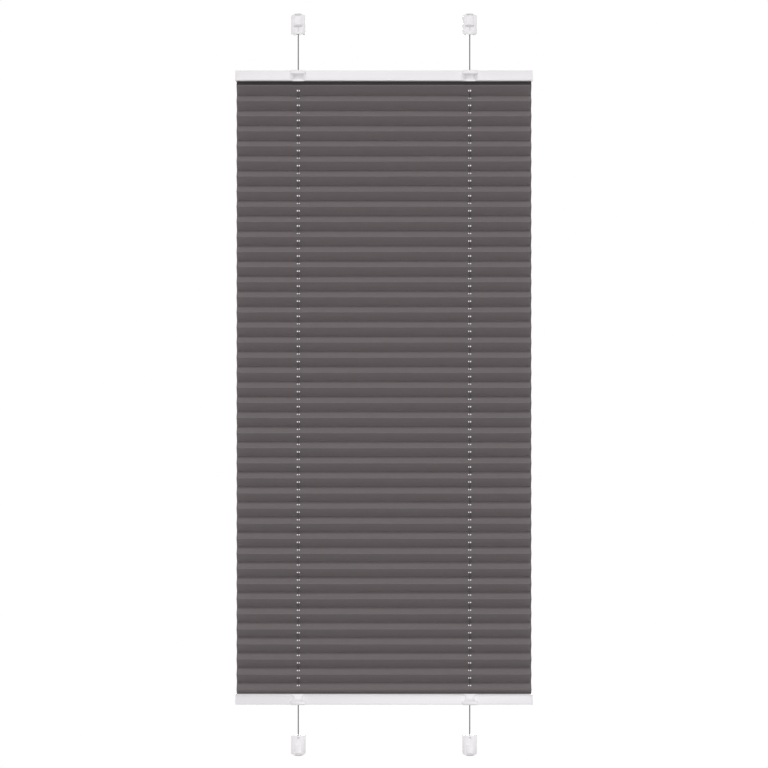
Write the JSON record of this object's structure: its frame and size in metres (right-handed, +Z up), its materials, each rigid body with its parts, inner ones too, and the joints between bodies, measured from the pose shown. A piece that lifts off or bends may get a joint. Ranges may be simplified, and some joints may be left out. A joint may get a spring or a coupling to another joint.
{
  "type": "pleated blind",
  "caption": "Window blind of pleated anthracite cloth between white aluminium rails that slide on taut cords held by screwed tension shoes.",
  "frame": {"origin": "middle of the rectangle of shoe screws, on the plane that the shoes are screwed to", "axes": "+Z up along the cords, +X along the rails to the right as seen from the room, +Y into the window, so the front faces -Y"},
  "size_m": [0.4, 0.0295, 1],
  "materials": {
    "rail_white": "white powder coat, satin",
    "white_plastic": "white moulded plastic, fine satin",
    "anthracite_cloth": "woven polyester, stiffened and pleated",
    "cord_braid": "fine braided polyester"
  },
  "bodies": {
    "window_fittings": {"top_left_shoe_base": "white_plastic", "top_right_shoe_base": "white_plastic", "bottom_left_shoe_base": "white_plastic", "bottom_right_shoe_base": "white_plastic", "top_left_shoe_cover": "white_plastic", "top_right_shoe_cover": "white_plastic", "bottom_left_shoe_cover": "white_plastic", "bottom_right_shoe_cover": "white_plastic", "top_left_cord_knot": "cord_braid", "top_right_cord_knot": "cord_braid", "bottom_left_cord_knot": "cord_braid", "bottom_right_cord_knot": "cord_braid", "left_tension_cord": "cord_braid", "right_tension_cord": "cord_braid"},
    "upper_rail": {"top_rail": "rail_white", "top_rail_left_cap": "white_plastic", "top_rail_right_cap": "white_plastic", "top_cloth_strip": "white_plastic", "top_left_cord_guide": "white_plastic", "top_right_cord_guide": "white_plastic", "top_left_cord_bush": "white_plastic", "top_right_cord_bush": "white_plastic", "top_left_grip": "white_plastic", "top_right_grip": "white_plastic", "top_front_crossing_cord": "cord_braid", "top_back_crossing_cord": "cord_braid", "pleated_cloth": "anthracite_cloth"},
    "lower_rail": {"bottom_rail": "rail_white", "bottom_rail_left_cap": "white_plastic", "bottom_rail_right_cap": "white_plastic", "bottom_cloth_strip": "white_plastic", "bottom_left_cord_guide": "white_plastic", "bottom_right_cord_guide": "white_plastic", "bottom_left_cord_bush": "white_plastic", "bottom_right_cord_bush": "white_plastic", "bottom_left_grip": "white_plastic", "bottom_right_grip": "white_plastic", "bottom_front_crossing_cord": "cord_braid", "bottom_back_crossing_cord": "cord_braid"}
  },
  "joints": [
    {"name": "upper_rail_slide", "type": "slide", "parent": "window_fittings", "child": "upper_rail", "axis": [0, 0, 1], "range_m": [-0.04, 0.047]},
    {"name": "lower_rail_slide", "type": "slide", "parent": "upper_rail", "child": "lower_rail", "axis": [0, 0, 1], "range_m": [0, 0.775], "deforming": ["pleated_cloth"]}
  ]
}
